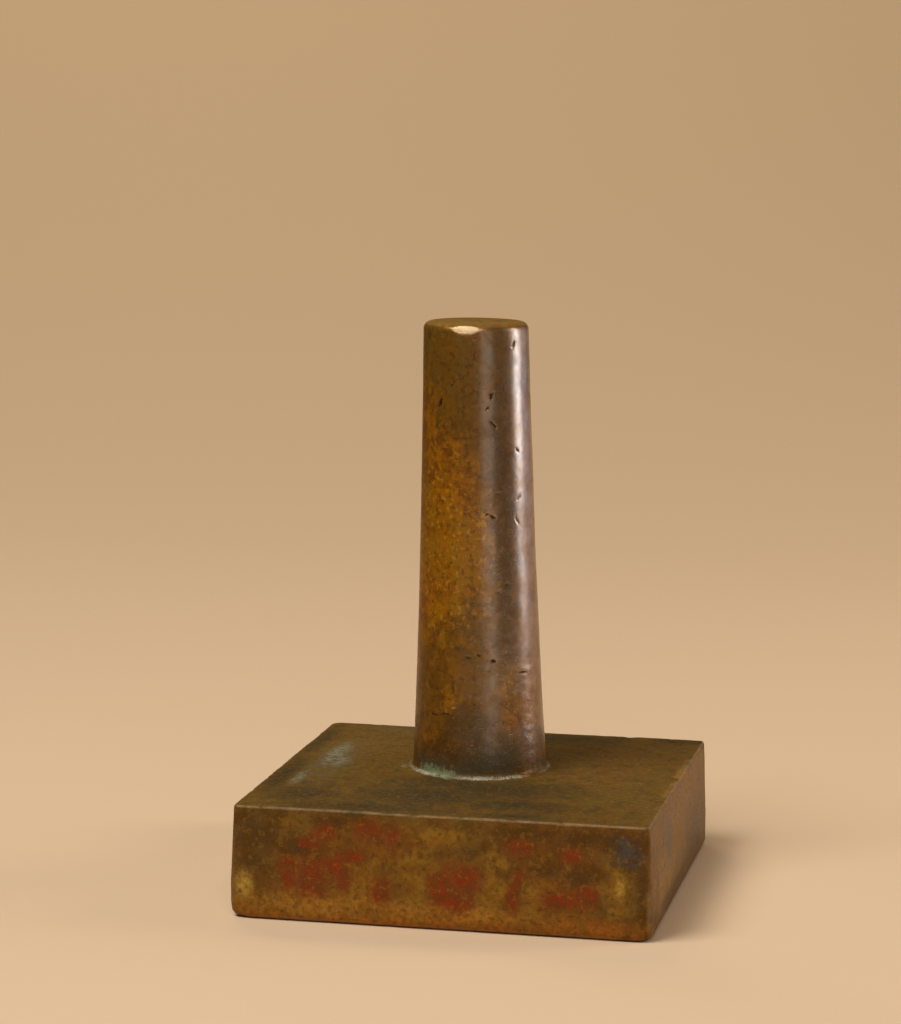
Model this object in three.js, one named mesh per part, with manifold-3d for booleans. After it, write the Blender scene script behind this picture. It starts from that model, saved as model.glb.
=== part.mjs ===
// A bronze seal of the old official kind: a thick square plate with a tall, tapering round
// handle, cast in one piece. Millimetres, +Z up. The origin is the centre of the seal face,
// which is the underside that it stands on. The front of the plate faces -Y.
import * as THREE from "three";
import { mergeVertices, toCreasedNormals } from "three/addons/utils/BufferGeometryUtils.js";
import Module from "manifold-3d";

// The plate: square, widest a little above its foot, and drawn in towards the top.
const plateWidth = 70;
const plateHeight = 18.9;
const plateBatter = 0.55; // how far each side draws in by the top
const battersFrom = 6; // the height at which the sides start to draw in
const topEdgeRadius = 0.5;
const bottomEdgeRadius = 1.2; // the bottom edges are worn rounder
const plateCornerRadius = 1.4;
const edgeSteps = 4;
const cornerSteps = 5;

// The handle: a round peg that leans a little, with its foot behind the plate's middle.
const handleHeight = 77;
const handleFootX = -0.95;
const handleFootY = 4.5;
const handleLean = -0.018; // sideways travel of the axis for each millimetre of height
const handleTopRadius = 8.91;
const handleTaper = 1.74; // growth in radius from top to foot that is even
const handleFlare = 0.92; // growth in radius that comes mostly near the foot
const handleFilletRadius = 1.1; // where the handle runs out on the plate
const handleRimRadius = 1.4;
const handleCrown = 0.3; // how far the top bulges over its flat
const handleSink = 2; // how far the peg's own solid reaches into the plate before they are joined
const handleSides = 64;
const handleStations = 9;
const rimSteps = 4;

// The seal face: a raised border and raised strokes that stand in a sunk field.
const borderWidth = 5.6;
const reliefDepth = 1.8;
const groupsAcross = 3;
const groupsAlong = 3;
const barsInGroup = 5;
const strokeWidth = 1.75;
const fieldWidth = plateWidth - 2 * bottomEdgeRadius - 2 * borderWidth;

const bronze = { color: 0x6b4a22, roughness: 0.42, metalness: 0.85 };

const wasm = await Module();
wasm.setup();

// A closed three.js geometry as a solid that can be joined and cut.
function solidFrom(geometry) {
  const bare = geometry.clone();
  bare.deleteAttribute("normal");
  bare.deleteAttribute("uv");
  const merged = mergeVertices(bare, 1e-4);
  const corners = merged.index.array;
  const kept = [];
  for (let i = 0; i < corners.length; i += 3) {
    const [a, b, c] = corners.slice(i, i + 3);
    if (a !== b && b !== c && c !== a) kept.push(a, b, c);
  }
  return new wasm.Manifold(
    new wasm.Mesh({
      numProp: 3,
      vertProperties: merged.attributes.position.array,
      triVerts: new Uint32Array(kept),
    }),
  );
}

function geometryFrom(solid) {
  const mesh = solid.getMesh();
  const geometry = new THREE.BufferGeometry();
  geometry.setAttribute("position", new THREE.BufferAttribute(mesh.vertProperties, mesh.numProp));
  geometry.setIndex(new THREE.BufferAttribute(mesh.triVerts, 1));
  return toCreasedNormals(geometry, Math.PI / 5);
}

// Points round a square with rounded corners, anticlockwise seen from above.
function roundedSquare(halfWidth, cornerRadius) {
  const points = [];
  const centre = halfWidth - cornerRadius;
  for (let corner = 0; corner < 4; corner++) {
    const start = (corner * Math.PI) / 2;
    const centreX = centre * Math.sign(Math.cos(start + Math.PI / 4));
    const centreY = centre * Math.sign(Math.sin(start + Math.PI / 4));
    for (let i = 0; i <= cornerSteps; i++) {
      const angle = start + ((Math.PI / 2) * i) / cornerSteps;
      points.push(
        new THREE.Vector2(
          centreX + cornerRadius * Math.cos(angle),
          centreY + cornerRadius * Math.sin(angle),
        ),
      );
    }
  }
  return points;
}

// Joins a stack of outlines, lowest first and all with as many points, into one closed skin.
function loft(levels) {
  const count = levels[0].outline.length;
  const positions = levels.flatMap(({ outline, z }) => outline.flatMap((p) => [p.x, p.y, z]));
  const faces = [];
  for (let level = 0; level < levels.length - 1; level++) {
    for (let i = 0; i < count; i++) {
      const next = (i + 1) % count;
      const low = level * count;
      const high = low + count;
      faces.push(low + i, low + next, high + next, low + i, high + next, high + i);
    }
  }
  const top = (levels.length - 1) * count;
  for (const [a, b, c] of THREE.ShapeUtils.triangulateShape(levels[0].outline, [])) {
    faces.push(a, c, b);
    faces.push(top + a, top + b, top + c);
  }
  const geometry = new THREE.BufferGeometry();
  geometry.setAttribute("position", new THREE.Float32BufferAttribute(positions, 3));
  geometry.setIndex(faces);
  return geometry;
}

// The plate's side in section: how far each height is drawn in from the widest.
function plateSection() {
  const section = [];
  for (let i = 0; i <= edgeSteps; i++) {
    const angle = ((Math.PI / 2) * i) / edgeSteps;
    section.push({
      z: bottomEdgeRadius * (1 - Math.cos(angle)),
      inset: bottomEdgeRadius * (1 - Math.sin(angle)),
    });
  }
  section.push({ z: battersFrom, inset: 0 });
  for (let i = 0; i <= edgeSteps; i++) {
    const angle = ((Math.PI / 2) * i) / edgeSteps;
    section.push({
      z: plateHeight - topEdgeRadius * (1 - Math.sin(angle)),
      inset: plateBatter + topEdgeRadius * (1 - Math.cos(angle)),
    });
  }
  return section;
}

function makePlate() {
  const levels = plateSection().map(({ z, inset }) => ({
    z,
    outline: roundedSquare(plateWidth / 2 - inset, Math.max(plateCornerRadius - inset, 0.2)),
  }));
  return solidFrom(loft(levels));
}

// The peg's radius at a height above the plate: an even taper with a slight flare low down.
function handleRadius(height) {
  const fromTop = 1 - height / handleHeight;
  return handleTopRadius + handleTaper * fromTop + handleFlare * fromTop ** 3;
}

function makeHandle() {
  const profile = [new THREE.Vector2(0, -handleSink)];
  const filletCentre = handleRadius(handleFilletRadius) + handleFilletRadius;
  profile.push(new THREE.Vector2(filletCentre, -handleSink));
  for (let i = 0; i <= rimSteps; i++) {
    const angle = ((Math.PI / 2) * i) / rimSteps;
    profile.push(
      new THREE.Vector2(
        filletCentre - handleFilletRadius * Math.sin(angle),
        handleFilletRadius * (1 - Math.cos(angle)),
      ),
    );
  }
  const shaftTop = handleHeight - handleCrown - handleRimRadius;
  for (let i = 1; i < handleStations; i++) {
    const height = handleFilletRadius + ((shaftTop - handleFilletRadius) * i) / handleStations;
    profile.push(new THREE.Vector2(handleRadius(height), height));
  }
  const rimCentre = handleRadius(shaftTop) - handleRimRadius;
  for (let i = 0; i <= rimSteps; i++) {
    const angle = ((Math.PI / 2) * i) / rimSteps;
    profile.push(
      new THREE.Vector2(
        rimCentre + handleRimRadius * Math.cos(angle),
        shaftTop + handleRimRadius * Math.sin(angle),
      ),
    );
  }
  profile.push(new THREE.Vector2(rimCentre / 2, handleHeight - handleCrown / 4));
  profile.push(new THREE.Vector2(0, handleHeight));
  const geometry = new THREE.LatheGeometry(profile, handleSides);
  geometry.rotateX(Math.PI / 2);
  geometry.applyMatrix4(new THREE.Matrix4().makeShear(0, 0, 0, 0, handleLean, 0));
  geometry.translate(handleFootX, handleFootY, plateHeight);
  return solidFrom(geometry);
}

// A block between two corners in plan, from below the face to a height inside the plate.
function block(lowX, lowY, highX, highY, bottom, top) {
  const geometry = new THREE.BoxGeometry(highX - lowX, highY - lowY, top - bottom);
  geometry.translate((lowX + highX) / 2, (lowY + highY) / 2, (bottom + top) / 2);
  return solidFrom(geometry);
}

// One group of strokes: level bars, each joined to the next by an upright at alternate ends.
// It is a plain folded line and no letter. Groups next to each other fold opposite ways.
function strokeGroup(lowX, lowY, width, depth, turned) {
  const pitch = (depth - strokeWidth) / (barsInGroup - 1);
  const strokes = [];
  for (let bar = 0; bar < barsInGroup; bar++) {
    const barY = lowY + bar * pitch;
    strokes.push(block(lowX, barY, lowX + width, barY + strokeWidth, -1, plateHeight / 2));
    if (bar === barsInGroup - 1) continue;
    const atRight = bar % 2 === (turned ? 1 : 0);
    const uprightX = atRight ? lowX + width - strokeWidth : lowX;
    const uprightTop = barY + pitch + strokeWidth / 2;
    strokes.push(
      block(uprightX, barY, uprightX + strokeWidth, uprightTop, -1, plateHeight / 2),
    );
  }
  return strokes;
}

// The sunk field: what is cut out of the face between its border and its strokes.
function makeField() {
  const half = fieldWidth / 2;
  const groupPitch = fieldWidth / groupsAcross;
  const rowPitch = fieldWidth / groupsAlong;
  let field = block(-half, -half, half, half, -1, reliefDepth);
  for (let column = 0; column < groupsAcross; column++) {
    for (let row = 0; row < groupsAlong; row++) {
      const strokes = strokeGroup(
        -half + column * groupPitch + strokeWidth / 2,
        -half + row * rowPitch + strokeWidth / 2,
        groupPitch - strokeWidth,
        rowPitch - strokeWidth,
        (column + row) % 2 === 1,
      );
      for (const stroke of strokes) field = field.subtract(stroke);
    }
  }
  return field;
}

function makeSeal() {
  const solid = makePlate().add(makeHandle()).subtract(makeField());
  const seal = new THREE.Mesh(geometryFrom(solid), new THREE.MeshStandardMaterial(bronze));
  seal.name = "seal";
  return seal;
}

const group = new THREE.Group();
group.add(makeSeal());

export default group;
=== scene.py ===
import math

import bmesh
import bpy
import numpy as np
from mathutils import Matrix, Vector, noise


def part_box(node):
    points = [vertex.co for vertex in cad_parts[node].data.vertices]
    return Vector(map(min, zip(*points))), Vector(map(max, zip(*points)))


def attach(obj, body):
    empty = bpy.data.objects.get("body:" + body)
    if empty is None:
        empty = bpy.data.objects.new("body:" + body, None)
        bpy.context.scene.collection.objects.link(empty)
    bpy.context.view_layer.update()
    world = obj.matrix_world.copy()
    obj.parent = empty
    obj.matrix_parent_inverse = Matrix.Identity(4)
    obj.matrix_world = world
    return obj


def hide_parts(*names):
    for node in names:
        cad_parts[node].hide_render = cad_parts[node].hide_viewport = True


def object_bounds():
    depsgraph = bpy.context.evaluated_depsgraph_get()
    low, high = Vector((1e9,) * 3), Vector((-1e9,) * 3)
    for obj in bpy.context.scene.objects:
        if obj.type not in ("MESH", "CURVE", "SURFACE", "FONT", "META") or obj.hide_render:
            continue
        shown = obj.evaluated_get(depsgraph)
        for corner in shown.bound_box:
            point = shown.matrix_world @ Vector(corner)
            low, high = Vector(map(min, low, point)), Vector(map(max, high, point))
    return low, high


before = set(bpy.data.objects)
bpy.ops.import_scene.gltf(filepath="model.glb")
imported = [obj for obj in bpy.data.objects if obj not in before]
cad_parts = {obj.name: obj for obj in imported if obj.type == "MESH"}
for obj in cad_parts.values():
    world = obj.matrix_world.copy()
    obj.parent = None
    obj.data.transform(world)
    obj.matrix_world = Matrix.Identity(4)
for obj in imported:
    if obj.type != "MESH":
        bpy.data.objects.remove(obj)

# An old bronze seal on its face: a square plate with a tall round handle, one casting. Sizes are
# in millimetres and become metres where meshes, lights and the camera are made. The origin is
# the middle of the underside, +Z is up and the plate's front faces -Y.
MM = 0.001
cad_low, cad_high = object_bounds()
seal_low, seal_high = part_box("seal")
PLATE_WIDTH = (seal_high.x - seal_low.x) / MM
TOTAL_HEIGHT = (seal_high.z - seal_low.z) / MM

# The plate, as in the solid but for two of its corners
PLATE_HEIGHT = 18.9
PLATE_BATTER = 0.55  # how far each side draws in by the top
BATTERS_FROM = 6.0
TOP_EDGE_RADIUS = 0.5
BOTTOM_EDGE_RADIUS = 1.2
# Front left, front right, back right and back left; the last is worn rounder than the others
CORNER_RADII = (1.4, 1.5, 1.4, 2.6)

# The handle, as in the solid but for its end, which is worn a little hollow
HANDLE_HEIGHT = TOTAL_HEIGHT - PLATE_HEIGHT
HANDLE_FOOT = np.array([-0.95, 4.5])
HANDLE_LEAN = -0.018
HANDLE_TOP_RADIUS = 8.91
HANDLE_TAPER = 1.74
HANDLE_FLARE = 0.92
FILLET_RADIUS = 1.1
RIM_RADIUS = 1.3
DISH = 0.15  # how far the middle of the handle's top lies below its rim
SHAFT_TOP = HANDLE_HEIGHT - RIM_RADIUS
HANDLE_FROM = 0.02  # what lies higher above the plate than this belongs to the handle

# The seal face, as in the solid but with its edges rounded and its walls sloped
BORDER_WIDTH = 5.6
RELIEF_DEPTH = 1.8
GROUPS = 3
BARS_IN_GROUP = 5
STROKE_WIDTH = 1.75
FIELD_WIDTH = PLATE_WIDTH - 2 * BOTTOM_EDGE_RADIUS - 2 * BORDER_WIDTH
SHOULDER = 0.25  # how far in from a stroke's edge it starts to round over
WALL = 0.2  # how far out the sloping wall of a stroke reaches

# How finely the skin is divided
CELLS_PER_SIDE = 112
HANDLE_COLUMNS = 2 * CELLS_PER_SIDE
SHAFT_RINGS = 182
TOP_DISC_RINGS = 9
RIM_RINGS = 7
FILLET_RINGS = 6
PLATE_TOP_RINGS = 28
EDGE_RINGS = 5
SIDE_RINGS = 28
BORDER_RINGS = 5

# Ragged pits in the handle: azimuth in degrees from the front towards the right, height above
# the plate, half width, half length, the slant of its length in degrees from level, and depth
PITS = (
    (-31.3, 63.7, 0.36, 0.6, 75, 0.3),
    (-28.0, 64.3, 0.22, 0.3, 20, 0.12),
    (27.6, 65.2, 0.32, 0.45, 60, 0.22),
    (22.5, 63.0, 0.2, 0.35, 55, 0.15),
    (28.8, 60.3, 0.26, 0.6, -50, 0.2),
    (-8.8, 67.9, 0.2, 0.3, 30, 0.1),
    (-14.6, 66.9, 0.22, 0.55, 50, 0.12),
    (9.9, 74.8, 0.2, 0.45, 20, 0.08),
    (8.7, 72.1, 0.2, 0.3, 70, 0.1),
    (55.0, 73.6, 0.24, 0.5, 60, 0.1),
    (57.2, 55.8, 0.2, 0.35, -40, 0.12),
    (32.4, 48.6, 0.22, 0.3, 10, 0.1),
    (58.3, 47.7, 0.2, 0.45, 35, 0.1),
    (27.2, 44.7, 0.28, 0.4, -30, 0.2),
    (20.6, 45.1, 0.24, 0.2, 0, 0.14),
    (54.6, 43.8, 0.2, 0.6, -60, 0.1),
    (31.5, 31.9, 0.2, 0.4, 20, 0.1),
    (24.9, 20.2, 0.26, 0.3, 0, 0.18),
    (140.0, 58.0, 0.34, 0.4, 30, 0.2),
    (171.0, 33.0, 0.28, 0.5, -60, 0.15),
    (-118.0, 25.0, 0.3, 0.4, 10, 0.18),
    (-150.0, 70.0, 0.26, 0.4, 70, 0.12),
)
PIT_MARGIN = 0.12  # how far beyond a pit the skin is divided more finely
# Short dashes pressed into the handle: azimuth and height of both ends, half width and depth
DASHES = (
    (-2.7, 20.6, 12.3, 21.2, 0.24, 0.08),
    (-35.1, 10.5, -18.0, 10.9, 0.34, 0.14),
    (51.0, 18.0, 61.5, 17.8, 0.2, 0.06),
    (38.0, 33.0, 45.9, 32.9, 0.2, 0.07),
    (-38.5, 29.9, -10.8, 29.7, 0.2, 0.04),
    (115.0, 41.0, 127.0, 42.5, 0.2, 0.07),
    (-165.0, 52.0, -150.0, 50.5, 0.22, 0.07),
)
# Flats worn on the handle's rim: azimuth, how steeply the flat faces up in degrees, and how
# deep it cuts
RIM_FLATS = (
    (-1, 25, 0.34),
    (128, 40, 0.12),
    (-140, 50, 0.1),
)
FLAT_SHARE = 0.85  # 1 would wear them quite flat
FULLY_WORN = 0.16  # where a flat has cut this deep, it shines as worn metal

# Where the handle is rippled low down: azimuth, height, half width in degrees, half height,
# the ripples' length and how high they stand
RIPPLED = (54, 10, 24, 11, 1.5, 0.045)

# Knocks along the plate's edges: how many there are on each of the four sides
TOP_NICKS = 16
FOOT_NICKS = 9
CORNER_NICKS = 9
# Corners of the plate's foot that are worn rounder: x, y, how far the wear reaches and its depth
WORN_CORNERS = (
    (-35, -35, 3.2, 0.5),
    (35, -35, 3.2, 0.4),
)

# Old inscription on the plate's top, worn down to rows of short shallow strokes: the row's x,
# where it starts and ends in y, and the strokes' depth
STROKE_ROWS = (
    (-27.8, -25.0, 13.5, 0.13),
    (14.5, 8.0, 24.0, 0.05),
)
STROKE_ANGLES = (0, 80, 0, -35, 90, 0, 40)
STROKE_PITCH = 1.9
STROKE_HALF_WIDTH = 0.2
STROKE_REACH = 1.3  # how far round a stroke the skin is divided more finely

# Corrosion in the corner round the handle's foot
CRUSTIEST = -10  # the azimuth where most of it has gathered
CRUST_OUTSIDE = 0.525  # how far from the corner it thins out to nothing
CRUST_INSIDE = 0.105  # and how far it is full
CRUST_HEIGHT = 0.08

GLOSSIEST = 110  # the azimuth that hands have polished most

# Patches of colour. On the handle: azimuth, height, half width and half height in millimetres.
# The patch called matt has no colour of its own: it only lies dull in the polish.
HANDLE_PATCHES = {
    "olive": ((0, 74, 30, 14), (20, 28, 6, 16), (180, 60, 14, 20), (100, 40, 8, 12)),
    "ochre": (
        (-36, 40, 7, 13), (-8, 38, 4.5, 10), (8, 39, 3.5, 9), (-32, 47, 6, 4),
        (39, 15, 1.3, 5), (-16, 13, 1.5, 2), (150, 45, 8, 15), (-140, 30, 9, 12),
    ),
    "rust": (
        (-34, 54, 4.5, 5), (-14, 50, 3.5, 4), (-56, 62, 3, 6), (-50, 29, 4, 6),
        (-38, 5, 4, 2.5), (41, 11, 1.2, 4), (-100, 60, 7, 8), (170, 15, 7, 7),
    ),
    # Of the dark patches, the long narrow one at azimuth 38 is a painted reflection, a dark band
    # down the handle between its highlights. Those low by the foot are painted shade in the corner
    # where the handle meets the plate.
    "dark": (
        (-10, 3, 13, 4), (36, 4, 9, 5), (38, 42, 2.2, 30), (2, 8, 5, 4),
        (120, 68, 8, 8), (-110, 10, 9, 7), (-172, 2, 12, 3),
    ),
    # The moss patches are dark green corrosion that also stands as painted shade in the corner by
    # the handle's foot.
    "moss": (
        (22, 2.6, 5.5, 2.2), (-32, 1.8, 5, 1.6), (-4, 1.4, 8, 1.1),
        (110, 1.5, 9, 1.2), (-130, 1.5, 9, 1.2),
    ),
    "green": ((-33, 0.9, 2.6, 0.8), (-17, 0.6, 1.4, 0.7), (-150, 0.8, 3, 0.6)),
    "matt": ((50, 10.5, 3.4, 4.5),),
}
# On the plate's sides: side (0 front, 1 right, 2 back, 3 left), place along it from its middle
# (towards the right as one faces it), height, half width and half height.
SIDE_PATCHES = {
    "red": (
        (0, -21.4, 13.4, 2.2, 1.2), (0, -18.8, 15.4, 1.7, 1.4), (0, -25, 8, 1.6, 3.2),
        (0, -21, 7.2, 2.6, 3.8), (0, -17.4, 9.6, 2.4, 1.5), (0, -14.2, 11.3, 2.6, 1.2),
        (0, -15.6, 7.6, 1, 2.4), (0, -11.6, 16, 2.4, 1.6), (0, -7.4, 15, 1.2, 1.8),
        (0, -9.6, 5.8, 1.8, 2.5), (0, 1.2, 6.8, 2.6, 3.6), (0, 4.4, 8.6, 2.8, 2.6),
        (0, 3, 4.6, 2.6, 1.8), (0, 12.3, 6.4, 1.3, 2.8), (0, 13.2, 9.6, 1, 1.4),
        (0, 13.4, 14.4, 2.2, 1.2), (0, 21.6, 13.6, 1.8, 1.4), (0, 20.2, 6.3, 3.2, 1.4),
        (0, 24.4, 7.2, 2.4, 1.8), (2, -12, 9, 3, 2), (2, 18, 12, 1.5, 3), (3, 6, 8, 2.5, 2),
    ),
    "rust": (
        (0, -20.5, 9, 6.5, 5), (0, 21, 8, 5, 4), (0, 3, 7.5, 4, 4), (0, -31.5, 1.6, 3, 2),
        (0, -9, 14, 5, 3), (2, 0, 9, 9, 5), (3, 8, 6, 8, 4),
    ),
    "ochre": (
        (0, -12, 7, 3, 4), (0, -4, 8, 3, 4), (0, 9, 8, 2, 4), (0, 16.6, 6, 2.2, 3),
        (0, 29.6, 8.4, 1.6, 4), (0, -25.6, 16.4, 2, 0.7), (0, 0.5, 15.4, 4, 1.2),
        (0, 4, 3, 14, 1.2), (1, -20, 6, 8, 4), (2, 14, 7, 12, 5), (3, -10, 9, 10, 6),
    ),
    "pale": ((0, -32.4, 5.8, 1.3, 2.1), (0, 29.8, 8.8, 0.7, 1.7)),
    "band": (
        (0, -17, 3.2, 17, 1.9), (0, 4, 3.2, 10, 1.3), (2, 8, 3, 16, 1.2), (3, -12, 3, 12, 1.2),
    ),
    # The tan patches are a painted sheen: a side lighter and greyer where it mirrors the room at a
    # grazing angle.
    "tan": ((1, 4, 14, 30, 6), (1, -10, 8, 16, 5), (3, -8, 14, 20, 3), (2, 10, 15, 18, 3)),
    "dark": (
        (0, -30, 14, 5, 4), (0, -31, 10, 3, 2), (0, -23, 12.2, 4, 1.6), (0, -18, 17, 3, 0.9),
        (0, 14, 16.8, 5, 0.9), (0, 23, 16.4, 3, 1.4), (0, -31.5, 16.6, 3, 1.2),
        (0, 18, 11, 3, 1.2), (0, 31.4, 14.4, 2.8, 3), (0, 29.4, 16.2, 3.6, 1.8),
        (0, 5.4, 13.3, 1.8, 0.7), (0, 23.4, 10.4, 3, 1.6), (0, 33.4, 8, 1, 5),
        (1, 20, 6, 12, 6), (1, -8, 2, 16, 2), (2, -20, 12, 8, 5), (3, 14, 12, 10, 5),
    ),
    "blue": ((0, 31, 14.6, 2.4, 2.4), (1, -14, 12, 3, 3)),
    "copper": (
        (0, -9, 0.9, 24, 1.3), (0, 24, 1.4, 11, 1.9), (0, 4, 1.6, 12, 1.7), (2, 4, 1, 22, 1.4),
    ),
}
# On the plate's top: x, y, half width and half depth
TOP_PATCHES = {
    "shade": (
        (-3, -11, 10, 4), (4, -13, 13, 6), (-5, -20, 12, 8), (10, -24, 9, 4),
        (-14, -31, 12, 4), (-25, -24, 6, 6), (12, -32, 6, 2), (-32.5, 18, 1.6, 12),
        (-32, -10, 1.6, 14), (8, 30, 10, 4), (30, 32, 5, 2),
    ),
    "bloomed": (
        (-27.2, 8, 1.6, 9), (-25, 2, 1.3, 4), (-29, -12, 0.9, 5), (-13.4, 1, 0.7, 1.4),
    ),
    "haze": ((-26.5, 0, 4, 16), (-10, 30, 14, 3)),
}
PASTE_IN_FIELD = 0.62  # how much seal paste is left in the sunk field of the face

# Colours, as linear light
BROWN = (0.215, 0.084, 0.008)
OLIVE = (0.205, 0.112, 0.017)
PLATE_BROWN = (0.165, 0.084, 0.015)
RED_BROWN = (0.155, 0.060, 0.010)
UMBER = (0.098, 0.042, 0.006)
OCHRE = (0.400, 0.130, 0.0015)
STRAW = (0.330, 0.145, 0.006)
FLECK = (0.560, 0.270, 0.025)
PLATE_OCHRE = (0.232, 0.094, 0.010)
PLATE_STRAW = (0.285, 0.145, 0.017)
# Painted sheen on the plate's sides
TAN_SHEEN = (0.220, 0.135, 0.052)
RUST = (0.220, 0.056, 0.004)
OLD_RUST = (0.190, 0.056, 0.010)
# Dark patina; on the handle also painted shade and a painted dark reflection
SOOT_AND_SHADE = (0.062, 0.034, 0.014)
BLUE_BLACK = (0.062, 0.036, 0.026)
STEEL = (0.072, 0.062, 0.048)
# Dark green corrosion, also painted shade by the handle's foot
MOSS_AND_SHADE = (0.050, 0.050, 0.024)
COPPER = (0.430, 0.130, 0.016)
# Bare metal at worn edges, and a painted highlight along the plate's top edges
BRASS_AND_HIGHLIGHT = (0.500, 0.330, 0.170)
PASTE = (0.210, 0.022, 0.0015)
OLD_PASTE = (0.140, 0.032, 0.005)
PALE = (0.470, 0.290, 0.050)
BAND = (0.430, 0.195, 0.022)
VERDIGRIS = (0.165, 0.190, 0.080)
BLOOM = (0.380, 0.340, 0.220)
TOP_BROWN = (0.116, 0.049, 0.003)
TOP_OLIVE = (0.112, 0.054, 0.004)
TOP_DARK = (0.046, 0.026, 0.005)
TOP_SHADE = (0.020, 0.014, 0.004)
TOP_HAZE = (0.100, 0.075, 0.036)
TOP_BLOOM = (0.200, 0.185, 0.105)
DIRT = (0.012, 0.008, 0.004)
PAPER = (0.62, 0.42, 0.246)
ROOM = (0.55, 0.45, 0.35)

# The camera, fitted to the plate's edges and the handle's outline in the photograph
CAMERA_PLACE = Vector((104.4, -530.7, 139.1)) * MM
CAMERA_YAW = 0.2043
CAMERA_PITCH = 0.1384
CAMERA_ROLL = 0.0081
CAMERA_LENS = 113.06  # on a 36 mm long side

# Soft lights: name, place, the point that each faces, its width and height, power and colour
LIGHTS = (
    ("key", (-410, -450, 1010), (0, 0, 20), (540, 540), 13.8, (0.865, 0.92, 1)),
    ("side_strip", (569, 192, 265), (0, 0, 265), (190, 490), 1.75, (1, 0.97, 0.97)),
    ("side_panel", (540, 420, 150), (0, 0, 150), (520, 520), 0.5, (0.95, 0.86, 1)),
    ("front_panel", (380, -590, 170), (0, 0, 170), (300, 460), 0.27, (1, 0.9, 0.78)),
    ("front_fill", (170, -900, 900), (0, 0, 40), (500, 500), 4.1, (1, 1, 1)),
    ("backdrop_light", (-700, 1000, 1500), (-200, 1850, 500), (1000, 600), 12.0, (1, 0.95, 0.72)),
)


# Forms

def handle_radius(height):
    """The peg's radius at a height above the plate."""
    from_top = 1 - height / HANDLE_HEIGHT
    return HANDLE_TOP_RADIUS + HANDLE_TAPER * from_top + HANDLE_FLARE * from_top**3


RIM_CENTRE = handle_radius(SHAFT_TOP) - RIM_RADIUS
FILLET_CENTRE = handle_radius(FILLET_RADIUS) + FILLET_RADIUS


def handle_ring(radius, height, count):
    """Points round the handle, anticlockwise from the direction of the plate's front left corner."""
    angles = math.radians(-135) + np.arange(count) * 2 * math.pi / count
    x = HANDLE_FOOT[0] + HANDLE_LEAN * height + radius * np.cos(angles)
    y = HANDLE_FOOT[1] + radius * np.sin(angles)
    return np.stack([x, y, np.full(count, PLATE_HEIGHT + height)], axis=1)


def on_handle(azimuth, height):
    """A point on the shaft: azimuth in degrees from the front, towards the right."""
    angle = math.radians(azimuth)
    radius = handle_radius(height)
    return np.array([
        HANDLE_FOOT[0] + HANDLE_LEAN * height + radius * math.sin(angle),
        HANDLE_FOOT[1] - radius * math.cos(angle),
        PLATE_HEIGHT + height,
    ])


def round_the_handle(points):
    """Each point's height above the plate, its azimuth in degrees from the front and how far it
    lies from the handle's axis."""
    height = points[:, 2] - PLATE_HEIGHT
    rightwards = points[:, 0] - (HANDLE_FOOT[0] + HANDLE_LEAN * height)
    forwards = HANDLE_FOOT[1] - points[:, 1]
    azimuth = np.degrees(np.arctan2(rightwards, forwards))
    return height, azimuth, np.hypot(rightwards, forwards)


def side_points(half, start_radius, end_radius, count):
    """Evenly spaced points from the middle of one corner's arc to the middle of the next.
    Gives how far along the side each is, and how far in from it."""
    start_arc = math.pi / 4 * start_radius
    end_arc = math.pi / 4 * end_radius
    straight = 2 * half - start_radius - end_radius
    travel = (start_arc + straight + end_arc) * np.arange(count) / count
    start_angle = math.pi / 4 - np.minimum(travel, start_arc) / start_radius
    end_angle = np.maximum(travel - start_arc - straight, 0) / end_radius
    along = -half + start_radius * (1 - np.sin(start_angle))
    along += np.clip(travel - start_arc, 0, straight) + end_radius * np.sin(end_angle)
    inward = start_radius * (1 - np.cos(start_angle)) + end_radius * (1 - np.cos(end_angle))
    return along, inward


def plate_outline(inset):
    """Points round the plate, anticlockwise from its front left corner, drawn in by inset."""
    smallest_radius = 0.2
    half = PLATE_WIDTH / 2 - inset
    radii = [max(radius - inset, smallest_radius) for radius in CORNER_RADII]
    points = []
    for side in range(4):
        along, inward = side_points(half, radii[side], radii[(side + 1) % 4], CELLS_PER_SIDE)
        turn = side * math.pi / 2
        x = along * math.cos(turn) + (half - inward) * math.sin(turn)
        y = along * math.sin(turn) - (half - inward) * math.cos(turn)
        points.append(np.stack([x, y], axis=1))
    return np.concatenate(points)


def with_height(outline, height):
    return np.column_stack([outline, np.full(len(outline), height)])


def stroke_rectangles():
    """The raised strokes of the seal face: folded lines in groups, as in the solid."""
    rectangles = []
    pitch = FIELD_WIDTH / GROUPS
    width = pitch - STROKE_WIDTH
    bar_pitch = (width - STROKE_WIDTH) / (BARS_IN_GROUP - 1)
    for column in range(GROUPS):
        for row in range(GROUPS):
            low_x = -FIELD_WIDTH / 2 + column * pitch + STROKE_WIDTH / 2
            low_y = -FIELD_WIDTH / 2 + row * pitch + STROKE_WIDTH / 2
            turned = (column + row) % 2 == 1
            for bar in range(BARS_IN_GROUP):
                bar_y = low_y + bar * bar_pitch
                rectangles.append((low_x, bar_y, low_x + width, bar_y + STROKE_WIDTH))
                if bar == BARS_IN_GROUP - 1:
                    continue
                at_right = bar % 2 == (1 if turned else 0)
                upright_x = low_x + width - STROKE_WIDTH if at_right else low_x
                upright_top = bar_y + bar_pitch + STROKE_WIDTH / 2
                rectangles.append((upright_x, bar_y, upright_x + STROKE_WIDTH, upright_top))
    return rectangles


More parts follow.
